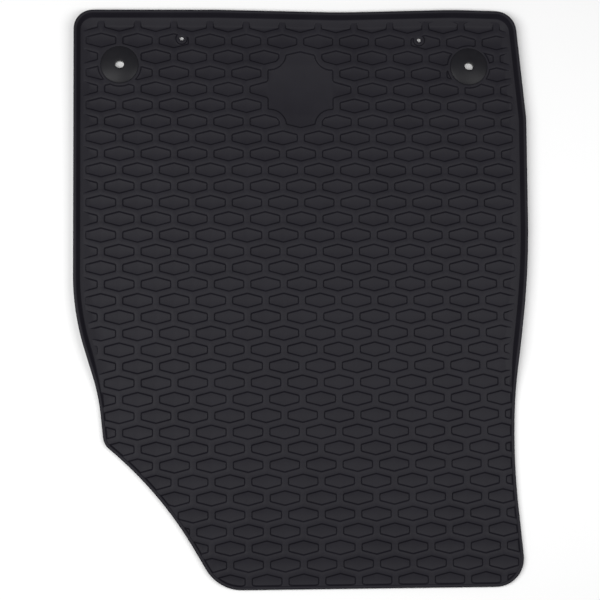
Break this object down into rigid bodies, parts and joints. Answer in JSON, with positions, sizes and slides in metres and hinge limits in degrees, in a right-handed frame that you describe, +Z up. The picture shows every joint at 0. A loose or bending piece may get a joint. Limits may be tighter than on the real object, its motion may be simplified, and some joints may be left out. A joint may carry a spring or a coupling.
{
  "type": "car floor mat",
  "caption": "Moulded rubber car floor mat with a raised rim, a honeycomb of shallow pockets and snap-in floor eyelets.",
  "frame": {"origin": "middle of the mat's outer box, on the surface that it lies on", "axes": "+Z up from the floor, +Y along the mat towards the end with the two eyelets, +X across it to the right as seen from above with the eyelets at the top"},
  "size_m": [0.5494, 0.7, 0.014],
  "materials": {
    "mat_rubber": "matte, fine moulded grain",
    "eyelet_plastic": "satin"
  },
  "bodies": {
    "root": {"mat_body": "mat_rubber", "eyelet_flange_left": "eyelet_plastic", "eyelet_flange_right": "eyelet_plastic", "eyelet_retainer_left": "eyelet_plastic", "eyelet_retainer_right": "eyelet_plastic"}
  },
  "joints": []
}
